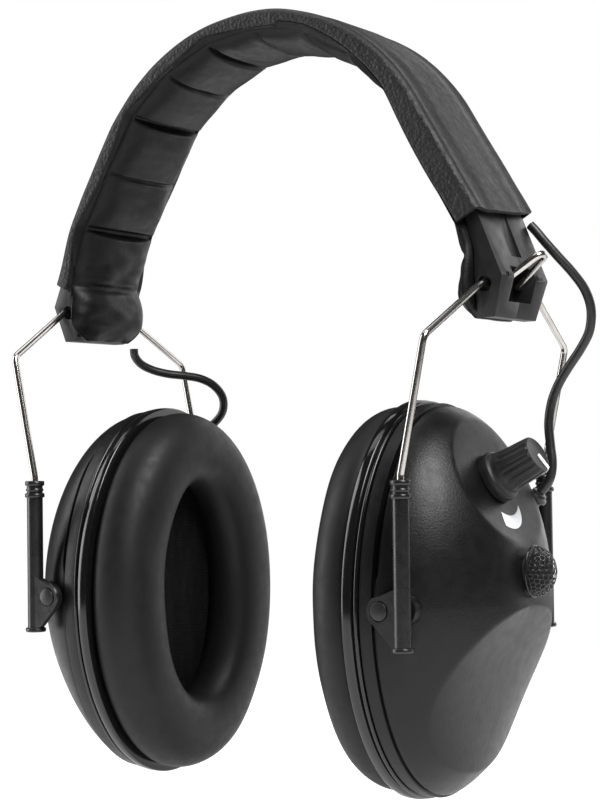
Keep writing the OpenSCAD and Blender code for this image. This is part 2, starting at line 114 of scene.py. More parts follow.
# ---- materials ----
class Look:
    """A procedural material. Textures are laid out in the row frame, so their scales are per mm."""

    def __init__(self, name, colour, rough, metal=0.0, specular=0.5):
        self.material = bpy.data.materials.new(name)
        self.material.use_nodes = True
        self.tree = self.material.node_tree
        self.bsdf = self.tree.nodes["Principled BSDF"]
        self.colour = colour
        self.bsdf.inputs["Base Color"].default_value = (*colour, 1)
        self.bsdf.inputs["Roughness"].default_value = rough
        self.bsdf.inputs["Metallic"].default_value = metal
        self.bsdf.inputs["Specular IOR Level"].default_value = specular
        self.place = self.tree.nodes.new("ShaderNodeTexCoord").outputs["Object"]
        self.normal = None

    def node(self, kind, **inputs):
        made = self.tree.nodes.new(kind)
        for name, value in inputs.items():
            socket = made.inputs[name.replace("_", " ")]
            if isinstance(value, bpy.types.NodeSocket):
                self.tree.links.new(value, socket)
            else:
                socket.default_value = value
        return made

    def stretched(self, stretch):
        return self.node("ShaderNodeMapping", Vector=self.place, Scale=stretch).outputs["Vector"]

    def noise(self, per_mm, detail=3.0, stretch=(1, 1, 1), rough=0.5):
        made = self.node("ShaderNodeTexNoise", Vector=self.stretched(stretch), Scale=per_mm / MM,
                         Detail=detail, Roughness=rough)
        return made.outputs["Fac"]

    def cells(self, per_mm, stretch=(1, 1, 1)):
        made = self.node("ShaderNodeTexVoronoi", Vector=self.stretched(stretch), Scale=per_mm / MM)
        made.feature = "SMOOTH_F1"
        made.inputs["Smoothness"].default_value = 0.35
        return made.outputs["Distance"]

    def ribs(self, per_mm, direction="Z", wobble=0.0):
        bands_per_unit = 3.18
        made = self.node("ShaderNodeTexWave", Vector=self.place, Scale=per_mm / MM / bands_per_unit,
                         Distortion=wobble, Detail=2.0)
        made.bands_direction = direction
        return made.outputs["Fac"]

    def ranged(self, fac, low, high, start=0.0, end=1.0):
        made = self.node("ShaderNodeMapRange", Value=fac)
        for name, value in (("From Min", low), ("From Max", high), ("To Min", start), ("To Max", end)):
            made.inputs[name].default_value = value
        return made.outputs["Result"]

    def mixed(self, fac, a, b):
        made = self.tree.nodes.new("ShaderNodeMix")
        made.data_type = "FLOAT"
        for socket, value in ((made.inputs[0], fac), (made.inputs[2], a), (made.inputs[3], b)):
            if isinstance(value, bpy.types.NodeSocket):
                self.tree.links.new(value, socket)
            else:
                socket.default_value = value
        return made.outputs[0]

    def shade(self, fac, darker=0.8, lighter=1.2, tint=(1, 1, 1)):
        """Varies the base colour between two shades of itself."""
        ramp = self.node("ShaderNodeValToRGB", Fac=fac)
        ends = ramp.color_ramp.elements
        ends[0].position = 0.3
        ends[1].position = 0.7
        ends[0].color = (*(c * darker for c in self.colour), 1)
        ends[1].color = (*(min(1, c * lighter * t) for c, t in zip(self.colour, tint)), 1)
        self.tree.links.new(ramp.outputs["Color"], self.bsdf.inputs["Base Color"])
        return self

    def gloss(self, fac, low, high):
        self.tree.links.new(self.ranged(fac, 0.3, 0.7, low, high), self.bsdf.inputs["Roughness"])
        return self

    def bump(self, height, depth):
        """Adds relief of a depth in mm."""
        made = self.node("ShaderNodeBump", Height=height, Distance=depth * MM)
        made.inputs["Strength"].default_value = 1.0
        if self.normal is not None:
            self.tree.links.new(self.normal, made.inputs["Normal"])
        self.normal = made.outputs["Normal"]
        self.tree.links.new(self.normal, self.bsdf.inputs["Normal"])
        return self

    def away_from_middle(self, start, end):
        """0 near the middle plane to 1 at the band's side walls, by distance in mm."""
        apart = self.node("ShaderNodeSeparateXYZ", Vector=self.place)
        size = self.node("ShaderNodeMath", Value=apart.outputs["Y"])
        size.operation = "ABSOLUTE"
        return self.ranged(size.outputs[0], start * MM, end * MM)


def leathercloth():
    look = Look("leathercloth", (0.010, 0.0096, 0.0098), 0.5, specular=0.33)
    side = look.away_from_middle(16.2, 17.8)
    grain = look.mixed(side, look.cells(1.9), look.cells(1.05))
    look.shade(look.noise(0.12), 0.8, 1.25, (1.03, 1.0, 0.99))
    look.gloss(look.noise(0.6, 5), 0.46, 0.62)
    look.bump(look.noise(0.22, 2), 0.22)
    depth = look.mixed(side, 0.25, 1.0)
    scaled = look.node("ShaderNodeMath", Value=grain)
    scaled.operation = "MULTIPLY"
    look.tree.links.new(depth, scaled.inputs[1])
    return look.bump(scaled.outputs[0], 0.21)


def pad_skin():
    look = Look("pad_skin", (0.0035, 0.0035, 0.0042), 0.42, specular=0.2)
    look.shade(look.noise(0.1), 0.8, 1.2)
    look.gloss(look.noise(0.5, 5), 0.36, 0.5)
    look.bump(look.noise(0.28, 3), 0.12)
    return look.bump(look.cells(2.2), 0.03)


def cushion_skin():
    look = Look("cushion_skin", (0.0055, 0.0055, 0.006), 0.5, specular=0.28)
    look.shade(look.noise(0.07), 0.85, 1.2)
    look.gloss(look.noise(0.35, 5), 0.46, 0.58)
    look.bump(look.noise(0.12, 3), 0.12)
    return look.bump(look.noise(3.0, 4), 0.015)


def liner_cloth():
    look = Look("liner_cloth", (0.0022, 0.0022, 0.0025), 0.9, specular=0.08)
    look.shade(look.noise(0.4), 0.7, 1.5)
    look.bsdf.inputs["Sheen Weight"].default_value = 0.03
    look.bump(look.noise(0.15, 3), 0.5)
    return look.bump(look.ribs(1.1, "Z", 0.6), 0.16)


def moulded(name, colour, low, high, per_mm=2.4, depth=0.012, patch=0.05, specular=0.5):
    """Moulded plastic with a spark-eroded texture and slightly uneven gloss."""
    look = Look(name, colour, (low + high) / 2, specular=specular)
    look.shade(look.noise(patch), 0.9, 1.12)
    look.gloss(look.noise(0.3, 5), low, high)
    return look.bump(look.noise(per_mm, 3), depth)


def metal(name, colour, low, high, along=(1, 1, 1)):
    look = Look(name, colour, (low + high) / 2, metal=1.0)
    look.shade(look.noise(0.2), 0.85, 1.0)
    look.gloss(look.noise(2.5, 4, along), low, high)
    return look.bump(look.noise(4.0, 2, along), 0.004)


def circuit_board():
    look = Look("circuit_board", (0.02, 0.09, 0.035), 0.3)
    look.shade(look.ribs(0.6, "Y", 3.0), 0.6, 1.5)
    return look.bump(look.noise(1.2), 0.02)


def cell_wrap():
    look = Look("cell_wrap", (0.10, 0.085, 0.06), 0.3)
    look.shade(look.ribs(0.03, "Y"), 0.4, 1.4)
    return look.gloss(look.noise(0.5), 0.25, 0.4)


def floor_paint():
    look = Look("floor_paint", (0.8, 0.8, 0.8), 0.7, specular=0.1)
    look.bsdf.inputs["Emission Color"].default_value = (1, 1, 1, 1)
    look.bsdf.inputs["Emission Strength"].default_value = 0.5
    look.shade(look.noise(0.01), 0.985, 1.0)
    return look.gloss(look.noise(0.05), 0.65, 0.75)


LOOKS = {
    "leathercloth": leathercloth(),
    "foam": moulded("foam", (0.008, 0.008, 0.008), 0.85, 0.95, 1.2, 0.15),
    "spring_steel": metal("spring_steel", (0.55, 0.54, 0.52), 0.28, 0.42, (1, 8, 1)),
    "bright_wire": metal("bright_wire", (0.52, 0.50, 0.475), 0.14, 0.26, (6, 6, 0.4)),
    "pad_skin": pad_skin(),
    "cushion_skin": cushion_skin(),
    "liner_cloth": liner_cloth(),
    "block_plastic": moulded("block_plastic", (0.012, 0.0116, 0.0116), 0.32, 0.46, specular=0.32),
    "slider_plastic": moulded("slider_plastic", (0.007, 0.007, 0.007), 0.24, 0.36, 1.2, 0.008),
    "shell_plastic": moulded("shell_plastic", (0.0035, 0.0033, 0.0033), 0.35, 0.44, 1.7, 0.055,
                             specular=0.28),
    "ring_plastic": moulded("ring_plastic", (0.005, 0.005, 0.005), 0.10, 0.18, 0.25, 0.02),
    "inner_plastic": moulded("inner_plastic", (0.02, 0.02, 0.02), 0.5, 0.6),
    "component_dark": moulded("component_dark", (0.03, 0.03, 0.032), 0.4, 0.5),
    "black_mesh": moulded("black_mesh", (0.006, 0.006, 0.006), 0.2, 0.32, 1.5, 0.01),
    "circuit_board": circuit_board(),
    "knob_plastic": moulded("knob_plastic", (0.009, 0.009, 0.010), 0.42, 0.55, 2.0, 0.015, specular=0.35),
    "white_mark": moulded("white_mark", (0.78, 0.79, 0.82), 0.45, 0.55, 2.0, 0.006),
    "cell_wrap": cell_wrap(),
    "cable_rubber": moulded("cable_rubber", (0.008, 0.008, 0.008), 0.34, 0.46, 1.0, 0.01),
}


# ---- mesh making ----
def mesh_object(name, verts, faces, slot, body, crease=38, scale=MM):
    """A closed mesh with smooth faces, sharp above the crease angle, that rides on a body."""
    data = bpy.data.meshes.new(name)
    data.from_pydata([Vector(v) * scale for v in verts], [], faces)
    finish_mesh(data, crease)
    made = bpy.data.objects.new(name, data)
    bpy.context.scene.collection.objects.link(made)
    dress(made, slot)
    if body:
        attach(made, body)
    return made


def finish_mesh(data, crease):
    shape = bmesh.new()
    shape.from_mesh(data)
    bmesh.ops.recalc_face_normals(shape, faces=shape.faces)
    for face in shape.faces:
        face.smooth = True
    for edge in shape.edges:
        edge.smooth = len(edge.link_faces) == 2 and edge.calc_face_angle(0) < math.radians(crease)
    shape.to_mesh(data)
    shape.free()


def dress(made, slot):
    made.data.materials.clear()
    made.data.materials.append(LOOKS[slot].material)


def skin(rings, close_ends=True, wrap=False):
    """Vertices and faces of a surface through equal closed rings of points."""
    n = len(rings[0])
    count = len(rings)
    verts = [p for ring in rings for p in ring]
    faces = []
    for i in range(count if wrap else count - 1):
        for j in range(n):
            a, b = i * n + j, i * n + (j + 1) % n
            c, d = (i + 1) % count * n + j, (i + 1) % count * n + (j + 1) % n
            faces.append((a, c, d, b))
    if close_ends and not wrap:
        faces.append(tuple(range(n)))
        faces.append(tuple((count - 1) * n + j for j in range(n - 1, -1, -1)))
    return verts, faces


def applied(made):
    """Applies an object's modifiers."""
    evaluated = made.evaluated_get(bpy.context.evaluated_depsgraph_get())
    data = bpy.data.meshes.new_from_object(evaluated)
    made.modifiers.clear()
    made.data = data
    return made


def rounded_copy(node, width, body, slot, segments=3):
    """The CAD node again with its edges rounded, standing for the plain one."""
    data = frame["nodes"][node].data.copy()
    shape = bmesh.new()
    shape.from_mesh(data)
    bmesh.ops.remove_doubles(shape, verts=shape.verts, dist=2e-6)
    bmesh.ops.dissolve_limit(shape, angle_limit=math.radians(0.6), verts=shape.verts, edges=shape.edges)
    shape.to_mesh(data)
    shape.free()
    made = bpy.data.objects.new(node + "_moulding", data)
    bpy.context.scene.collection.objects.link(made)
    bevel = made.modifiers.new("edges", "BEVEL")
    bevel.width = width * MM
    bevel.segments = segments
    bevel.limit_method = "ANGLE"
    bevel.angle_limit = math.radians(35)
    applied(made)
    finish_mesh(made.data, 50)
    dress(made, slot)
    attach(made, body)
    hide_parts(node)
    return made


def mirrored(side, points):
    return [(SIDES[side] * p[0], p[1], p[2]) for p in points]


def catmull(points, steps):
    """A smooth line through points."""
    line = []
    for i in range(len(points) - 1):
        a, b = points[max(i - 1, 0)], points[i]
        c, d = points[i + 1], points[min(i + 2, len(points) - 1)]
        for k in range(steps):
            t = k / steps
            line.append(0.5 * (2 * b + (c - a) * t + (2 * a - 5 * b + 4 * c - d) * t * t
                               + (3 * b - a - 3 * c + d) * t ** 3))
    return line + [points[-1]]


def tube_rings(path, radius, sides):
    rings = []
    side = None
    for i, p in enumerate(path):
        ahead = (path[min(i + 1, len(path) - 1)] - path[max(i - 1, 0)]).normalized()
        if side is None:
            side = ahead.orthogonal().normalized()
        side = (side - ahead * side.dot(ahead)).normalized()
        over = ahead.cross(side)
        angles = [2 * math.pi * j / sides for j in range(sides)]
        rings.append([p + radius * (math.cos(t) * side + math.sin(t) * over) for t in angles])
    return rings


# ---- connecting cables, along the same routes as in the CAD model ----
CABLE_D = 0.0027
ROUTES = {
    "right": [(0.0736, 0.0153, -0.055), (0.0754, 0.0155, -0.057), (0.0776, 0.0164, -0.060),
              (0.0806, 0.0184, -0.0642), (0.0838, 0.021, -0.0688), (0.0863, 0.0234, -0.0736),
              (0.0873, 0.025, -0.079), (0.0862, 0.026, -0.085), (0.0832, 0.0263, -0.090),
              (0.0796, 0.0262, -0.0948), (0.0764, 0.026, -0.0996), (0.0742, 0.0256, -0.105),
              (0.0734, 0.0252, -0.111), (0.074, 0.0248, -0.117), (0.0748, 0.0242, -0.1226),
              (0.0742, 0.0234, -0.127), (0.0718, 0.0226, -0.1304)],
    "left": [(-0.0684, 0.012, -0.0841), (-0.0684, 0.0125, -0.0865), (-0.0674, 0.0146, -0.0891),
             (-0.065, 0.0178, -0.091), (-0.0616, 0.0214, -0.0922), (-0.058, 0.0252, -0.0928),
             (-0.0544, 0.0292, -0.0938), (-0.0516, 0.0328, -0.0962), (-0.050, 0.0352, -0.1002),
             (-0.051, 0.0359, -0.105), (-0.0546, 0.0346, -0.1092), (-0.0594, 0.0319, -0.1128),
             (-0.0648, 0.0292, -0.1158), (-0.0704, 0.0268, -0.119), (-0.0748, 0.0252, -0.1232),
             (-0.0754, 0.024, -0.1276), (-0.0722, 0.0228, -0.1304)],
}


def length_of(path):
    return sum((b - a).length for a, b in zip(path, path[1:]))


def evenly(path, count):
    """The path again with points an equal distance apart."""
    step = length_of(path) / count
    made, run = [path[0]], 0
    for a, b in zip(path, path[1:]):
        gap = (b - a).length
        while len(made) < count and run + gap >= step * len(made):
            made.append(a.lerp(b, (step * len(made) - run) / gap))
        run += gap
    return made + [path[-1]]


def add_cable(side):
    """The cable in three lengths, upper, middle and lower, which are not attached to any body."""
    each = 34
    path = evenly(catmull([Vector(p) for p in ROUTES[side]], 12), 3 * each)
    rings = tube_rings(path, CABLE_D / 2, 14)
    cuts = [k * each for k in range(4)]
    crossings = [("headband", side + "_yoke"), (side + "_yoke", side + "_sliders"),
                 (side + "_sliders", side + "_cup")]
    for k, (above, below) in enumerate(crossings):
        first, last = cuts[k], cuts[k + 1]
        verts, faces = skin(rings[first:last + 1])
        name = f"{side}_cable_{('upper', 'middle', 'lower')[k]}"
        made = mesh_object(name, verts, faces, "cable_rubber", None, 60, 1)
        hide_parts(side + "_cable")
        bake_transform(made)


# ---- headband ----
CROWN_R = 64.5
CROWN_HALF = math.radians(58)
FLARE = {"left": 400, "right": 1000}
COVER_LEFT = 115.3
COVER_RIGHT = 104.8


def band_pt(s, d):
    """Place in X and Z, s along the outer face from the crown and d below that face."""
    flare = FLARE["left" if s < 0 else "right"]
    size = abs(s)
    turn = size / CROWN_R
    radius, cx, cz = CROWN_R, 0, BAND_TOP - CROWN_R
    if turn > CROWN_HALF:
        turn = CROWN_HALF + (size - CROWN_R * CROWN_HALF) / flare
        radius = flare
        cx += (CROWN_R - flare) * math.sin(CROWN_HALF)
        cz += (CROWN_R - flare) * math.cos(CROWN_HALF)
    x = cx + (radius - d) * math.sin(turn)
    return (math.copysign(x, s), cz + (radius - d) * math.cos(turn))


def smoothstep(a, b, t):
    t = max(0, min(1, (t - a) / (b - a)))
    return t * t * (3 - 2 * t)


# Channels sewn across the pad: distance along the band from the crown, and how deep they draw it in.
CHANNELS = [(-95.5, 1.0), (-75.8, 0.4), (-55.5, 1.0), (-36.5, 0.45), (-17.5, 1.0), (1.5, 0.45),
            (20.5, 1.0), (39.5, 0.4), (58, 1.0), (77, 0.45), (95, 1.0)]
DEEP = [at for at, deep in CHANNELS if deep == 1.0]


def seam_depth(s):
    """Depth of the seam between cover and pad: deeper towards the right end and midway between channels."""
    base = 3.7 + 4.4 * smoothstep(10, 92, s)
    if s <= DEEP[0] or s >= DEEP[-1]:
        return base + 1.4 * smoothstep(0, 18, DEEP[0] - s)
    low = max(at for at in DEEP if at <= s)
    high = min(at for at in DEEP if at > s)
    t = (s - low) / (high - low)
    return base + (1.9 if s < 10 else 0.5) * 4 * t * (1 - t)


def edge_droop(s):
    """How far the cover's edges hang below its middle near the left end."""
    return 3.0 * smoothstep(94, COVER_LEFT, -s)


def cover_face(y):
    """Depth of the cover's outer face: a raised middle over the spring, soft valleys, then the edges."""
    y = abs(y)
    return 0.55 * smoothstep(7.5, 13.0, y) - 0.3 * smoothstep(13.0, 16.6, y)


def cover_section(skirt):
    """Closed outline of the cover's section, as distances from the middle and depths."""
    corner, thick = 2.4, 1.15
    top = cover_face(COVER_Y)
    side = [(COVER_Y - 0.25, skirt), (COVER_Y, skirt - 0.4)]
    side += [(COVER_Y, top + corner + (skirt - 0.8 - top - corner) * (1 - k / 6)) for k in range(7)]
    arc = [(COVER_Y - corner + corner * math.cos(t), top + corner - corner * math.sin(t))
           for t in (math.radians(15 * k) for k in range(1, 7))]
    across = [(COVER_Y - corner - (COVER_Y - corner) * k / 16) for k in range(1, 16)]
    half = side + arc + [(y, cover_face(y)) for y in across] + [(0, 0)]
    outer = half + [(-y, d) for y, d in half[-2::-1]]
    flat_y, flat_d = COVER_Y - thick, thick
    inner = []
    for y, d in outer:
        inner.append((max(-flat_y, min(flat_y, y)), max(d, flat_d + 0.4 if abs(y) > 7 else flat_d)))
    return outer + inner[::-1]


def end_slant(s, y):
    """How far the cover's right end is cut back: more at the rear, less in the middle of the width."""
    across = y / COVER_Y
    return smoothstep(70, COVER_RIGHT, s) * (0.4 + 1.3 * (across + 1) - 1.1 * (1 - across ** 2))


def add_cover():
    rings = []
    count = 176
    for i in range(count + 1):
        s = -COVER_LEFT + (COVER_LEFT + COVER_RIGHT) * i / count
        skirt = seam_depth(s)
        droop = edge_droop(s)
        flare = 0.5 * smoothstep(92, COVER_RIGHT, s)
        ring = []
        for y, d in cover_section(skirt):
            drop = droop * (abs(y) / COVER_Y) ** 3 - flare * (abs(y) / COVER_Y) ** 4
            drop += 0.22 * noise.noise(Vector((s * 0.06, y * 0.12, d * 0.2)))
            wave = 0.18 * noise.noise(Vector((s * 0.08, 7.0, d * 0.1))) * (abs(y) / COVER_Y) ** 2
            x, z = band_pt(s - end_slant(s, y), max(0, d + drop))
            ring.append((x, y - math.copysign(abs(wave), y), z))
        rings.append(ring)
    verts, faces = skin(rings)
    cover = mesh_object("band_cover_leathercloth", verts, faces, "leathercloth", "headband", 60)
    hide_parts("band_cover")


PAD_BACK = 5.1
PAD_FACE = 10.6


def pad_stations(step=0.8):
    """Back and face points of the pad in X and Z, from its left end to its right end."""
    back, face, along = [], [], []
    for side in ("left", "right"):
        g = SIDES[side]
        line = [(g * s, band_pt(g * s, PAD_BACK), band_pt(g * s, PAD_FACE)) for s in range(0, 89, 4)]
        # the end cap hangs straight down behind the block
        caps = [(96, (64.9, 25.5), (60.0, 23.5)), (104, (68.6, 17), (63.1, 15.6)),
                (111.5, (70.7, 9.5), (65.3, 8.4)), (119, (70.8, 1), (64.9, 0.4)),
                (126, (70.6, -6), (65.6, -6.2)), (129, (70.0, -9), (66.8, -8.9))]
        line += [(g * s, (g * b[0], b[1] + PIVOT_Z), (g * f[0], f[1] + PIVOT_Z)) for s, b, f in caps]
        back.append([Vector((b[0], 0, b[1])) for _, b, _ in line])
        face.append([Vector((f[0], 0, f[1])) for _, _, f in line])
        along.append([Vector((s, 0, 0)) for s, _, _ in line])
    per = 5
    join = lambda pair: catmull(pair[0], per)[:0:-1] + catmull(pair[1], per)
    return join(along), join(back), join(face)


def pad_share(y, s):
    """Share of the pad's thickness at a place: 1 in the middle of a panel, less at seams and channels."""
    crown = 0.10 + 0.90 * max(0, 1 - abs(y) ** 2.8) ** 0.6
    near, pull = min(((abs(s - at), deep) for at, deep in CHANNELS), key=lambda c: c[0])
    fade = 1 - smoothstep(0.93, 1.0, abs(y))
    deep = pull > 0.8
    panel = 1 - (0.20 if deep else 0.13) * (1 - smoothstep(0, 9, near)) * (0.3 + 0.7 * fade)
    wide = (1.35 if deep else 0.6) * (0.55 + 0.45 * math.sqrt(max(0, 1 - y * y)))
    slit = 1 - (0.74 if deep else 0.30) * math.exp(-(near / wide) ** (4 if deep else 2)) * fade
    return crown * panel * slit


def pad_wrinkles(y, s):
    """Folds of the skin in mm: fine all over, larger and slanting on the end caps."""
    cap = smoothstep(96, 108, abs(s))
    fine = noise.noise(Vector((s * 0.09, y * 1.6, 3.0))) * 0.5
    slant = noise.noise(Vector(((abs(s) + 9 * y) * 0.13, y * 0.8, 5.0 + (s > 0)))) * 1.1 * cap
    return fine + slant + noise.noise(Vector((s * 0.34, y * 2.6, 9.0))) * (0.12 + 0.25 * cap)


def add_pad():
    along, back, face = pad_stations()
    columns = 44
    rings = []
    places = []
    for i in range(len(along) - 1):
        parts = max(1, round(abs(along[i + 1].x - along[i].x) / 0.45))
        places += [(i, k / parts) for k in range(parts)]
    places.append((len(along) - 2, 1.0))
    for i, t in places:
        s = along[i].x * (1 - t) + along[i + 1].x * t
        b, f = back[i].lerp(back[i + 1], t), face[i].lerp(face[i + 1], t)
        thick = (f - b).length
        size = abs(s)
        covered = 1 - smoothstep(-1, 1, s - COVER_RIGHT if s > 0 else -s - COVER_LEFT)
        inside = max(-COVER_LEFT, min(COVER_RIGHT, s))
        hem = band_pt(inside, seam_depth(inside) + edge_droop(inside) + 0.12)
        hem = b.lerp(f, 0.22).lerp(Vector((hem[0], 0, hem[1])), covered)
        waist = 0.9 * math.exp(-((size - 110) / 4) ** 2) - 0.9 * math.exp(-((size - 121) / 5) ** 2)
        tip = smoothstep(121, 129, size)
        width = PAD_Y - waist - 6.5 * (1 - math.sqrt(1 - tip ** 2))
        end = 1 - 0.55 * (1 - math.sqrt(1 - tip ** 2))
        crease = 1 - 0.30 * math.exp(-((size - 112.5) / 1.3) ** 2)
        flange = width + (COVER_Y - 0.1 - width) * covered
        rise = (f - b).dot(hem - b) / thick ** 2
        ring = [(hem, -flange)]
        for j in range(columns + 1):
            y = -math.cos(math.pi * j / columns)
            share = pad_share(y, s) * end * crease * (1 + 0.12 * smoothstep(100, 118, size))
            reach = max(rise * y ** 8 + 0.04, share + pad_wrinkles(y, s) / thick * (1 - y ** 6))
            ring.append((b.lerp(f, reach), y * width))
        ring.append((hem, flange))
        for j in range(columns - 2, 0, -6):
            y = -math.cos(math.pi * j / columns)
            ring.append((b.lerp(f, min(0, rise - 0.05) if abs(y) > 0.9 else 0), y * width * 0.98))
        rings.append([(p.x, y, p.z) for p, y in ring])
    verts, faces = skin(rings)
    pad = mesh_object("head_pad_quilted", verts, faces, "pad_skin", None, 75)
    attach(pad, "headband")
    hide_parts("band_pad")


# ---- ear cups ----
DOME_X = SHELL_X + 4.9
STEP = 0.8
DOME_A = RING_A - 1.8
DOME_B = RING_B - 1.8
DOME_H = 26.5
WALL = 2.0
LOW_FACET = (-184.1, 28, 23.2, 8)
HIGH_FACET = (-126.9, 19, 17.4, 5.3)
MIC_Z = -151.5
MIC_X = 81.0
MIC_B, MIC_A, MIC_H = 5.4, 6.9, 6.2


def facet(y, z, f):
    """Depth of a dished facet with a softly rounded rim."""
    t = 1 - (y / f[1]) ** 2 - ((z - f[0]) / f[2]) ** 2
    soft = 0.02
    return f[3] * (t + math.sqrt(t * t + soft * soft)) / 2


def dome_height(y, z):
    """Height of the dome over its base at a place in Y and Z."""
    up = z - CUP_Z
    q = max(0, 1 - (y / DOME_B) ** 2 - (up / DOME_A) ** 2)
    power = 0.6 + (0.25 * -up / DOME_A if up < 0 else 0)
    dimple = 1.0 * math.exp(-(y ** 2 + (z - MIC_Z) ** 2 / 1.6) / 60)
    return DOME_H * q ** power - facet(y, z, LOW_FACET) - facet(y, z, HIGH_FACET) - dimple


def oval_ring(x, inset, n, half_y=None, half_z=None):
    b = (half_y or DOME_B) - inset
    a = (half_z or DOME_A) - inset
    angles = [2 * math.pi * j / n for j in range(n)]
    return [(x, b * math.cos(t), CUP_Z + a * math.sin(t)) for t in angles]


def slot_open(up):
    """How far the slot between skirt and dome is open: wide beside the upper yoke, a line elsewhere."""
    return 0.16 + 0.84 * smoothstep(6.5, 9.5, up) * (1 - smoothstep(36, 47, up))


def shell_rings(n=232, outer=84, inner=22):
    """The moulding's surface from the middle of its inside, round the open rim, to the top of the dome."""
    rings = []
    grow_y, grow_z = DOME_B / (DOME_B - WALL), DOME_A / (DOME_A - WALL)
    for k in range(1, inner):
        c, ring = math.sin(math.pi / 2 * k / inner), []
        for _, y, z in oval_ring(0, WALL, n):
            y, z = y * c, CUP_Z + (z - CUP_Z) * c
            height = dome_height(y * grow_y, CUP_Z + (z - CUP_Z) * grow_z)
            ring.append((DOME_X - WALL + height * (DOME_H - WALL) / DOME_H, y, z))
        rings.append(ring)
    rings.append(oval_ring(DOME_X - WALL, WALL, n))
    rings.append(oval_ring(SHELL_X, WALL - STEP, n))
    skirt, narrow, opens, over = DOME_X - 0.9, 0.25, 1.1, 1.08
    for x, inset in ((SHELL_X, -STEP + 0.25), (SHELL_X + 0.25, -STEP), (skirt - 0.35, -STEP),
                     (skirt - 0.08, -STEP + 0.12)):
        rings.append(oval_ring(x, inset, n))
    for depth, lead in ((0.35, 0.0), (1.0, 0.05), (1.0, 0.95), (0.3, 1.0), (0.1, over)):
        ring = []
        for x, y, z in oval_ring(0, 0, n):
            open_ = slot_open(z - CUP_Z)
            shrink = 1 - 1.5 * depth * open_ / DOME_B
            ring.append((skirt + (narrow + opens * open_) * lead, y * shrink, CUP_Z + (z - CUP_Z) * shrink))
        rings.append(ring)
    for k in range(1, outer):
        u = math.pi / 2 * (k / outer) ** 1.25
        c, ring = math.cos(u), []
        for _, y, z in oval_ring(0, 0, n):
            y, z = y * c, CUP_Z + (z - CUP_Z) * c
            x = DOME_X + dome_height(y, z)
            start = skirt + (narrow + opens * slot_open((z - CUP_Z) / max(c, 0.01))) * over
            ring.append((max(x, start + 0.02 * k) if k < 6 else x, y, z))
        rings.append(ring)
    return rings


def shell_solid(name, side, body):
    rings = [mirrored(side, ring) for ring in shell_rings()]
    verts, faces = skin(rings)
    return mesh_object(name, verts, faces, "shell_plastic", body, 42)


def box_object(low, high):
    data = bpy.data.meshes.new("cutter")
    shape = bmesh.new()
    bmesh.ops.create_cube(shape, size=1)
    for v in shape.verts:
        for k in range(3):
            v.co[k] = (low[k] + (high[k] - low[k]) * (v.co[k] + 0.5)) * MM
    shape.to_mesh(data)
    shape.free()
    made = bpy.data.objects.new("cutter", data)
    bpy.context.scene.collection.objects.link(made)
    return made


def cut(made, cutter, operation):
    change = made.modifiers.new("cut", "BOOLEAN")
    change.object = cutter
    change.operation = operation
    change.solver = "EXACT"
    applied(made)
    bpy.data.objects.remove(cutter)
    finish_mesh(made.data, 42)


def add_bosses(side, body):
    """The flat bosses that the pivot pins sit in, front and rear."""
    out, radius = 4.1, 4.2
    low, high = 34.6, 38.1
    middle = PIN_X + out
    outline = [(middle + radius * math.cos(t), radius * math.sin(t))
               for t in (math.radians(-90 + 6 * k) for k in range(31))]
    outline += [(SHELL_X + 2.2, radius), (SHELL_X + 2.2, -radius)]
    for where, g in (("front", -1), ("rear", 1)):
        rings = []
        for y, inset in ((low, 0), (high - 0.5, 0), (high - 0.15, 0.12), (high, 0.5)):
            shrink = (radius - inset) / radius
            ring = [(middle + (x - middle) * shrink if x > PIN_X else x, g * y, CUP_Z + z * shrink)
                    for x, z in outline]
            rings.append(mirrored(side, ring))
        verts, faces = skin(rings)
        mesh_object(f"{side}_boss_{where}", verts, faces, "shell_plastic", body)


def battery_box(gap=0.0):
    """The box, in the left cup, that the battery cover is cut out of the shell by."""
    return box_object((-90, -24 + gap, -199 + gap), (-60 - gap, 24 - gap, -169 - gap))


def add_shell(side):
    body = side + "_cup"
    shell = shell_solid(side + "_shell_moulding", side, body)
    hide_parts(side + "_shell")
    add_bosses(side, body)
    if side == "left":
        cut(shell, battery_box(), "DIFFERENCE")
        dress(shell, "shell_plastic")
        cover = shell_solid("battery_cover_moulding", side, "battery_cover")
        cut(cover, battery_box(0.35), "INTERSECT")
        dress(cover, "shell_plastic")
        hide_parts("battery_cover")


def add_ring(side):
    """The glossy ring: a broad lip, a groove and a step."""
    back = RING_X0
    profile = [(0.55, 0), (0.15, 0.16), (0, 0.5), (-0.05, 1.5), (0, 2.6), (0.2, 2.95), (0.9, 3.1),
               (1.15, 3.3), (1.15, 3.6), (0.9, 3.75), (0.55, 3.8), (0.35, 4.0), (0.3, 4.4), (0.5, 4.7),
               (0.9, 4.8)]
    inner, n = 14, 224
    rings = [oval_ring(back + x, inset, n, RING_B, RING_A) for inset, x in profile]
    rings.append(oval_ring(RING_X1, inner, n, RING_B, RING_A))
    rings.append(oval_ring(back, inner, n, RING_B, RING_A))
    rings.append(oval_ring(back, 4.0, n, RING_B, RING_A))
    verts, faces = skin([mirrored(side, r) for r in rings], close_ends=False, wrap=True)
    ring = mesh_object(side + "_ring_moulding", verts, faces, "ring_plastic", side + "_cup", 50)
    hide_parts(side + "_ring")


# Section of the ear cushion: share of the way from the ear opening to the rim, and depth from the seal.
CUSHION = [(0.10, 14.1), (0.02, 11.0), (0.0, 7.6), (0.03, 4.6), (0.10, 2.1), (0.21, 0.5), (0.36, -0.25),
           (0.52, -0.2), (0.68, 0.5), (0.82, 2.0), (0.92, 4.3), (0.985, 7.4), (1.0, 10.4), (0.975, 12.6),
           (0.92, 14.1)]
EAR_A, EAR_B = 32, 17


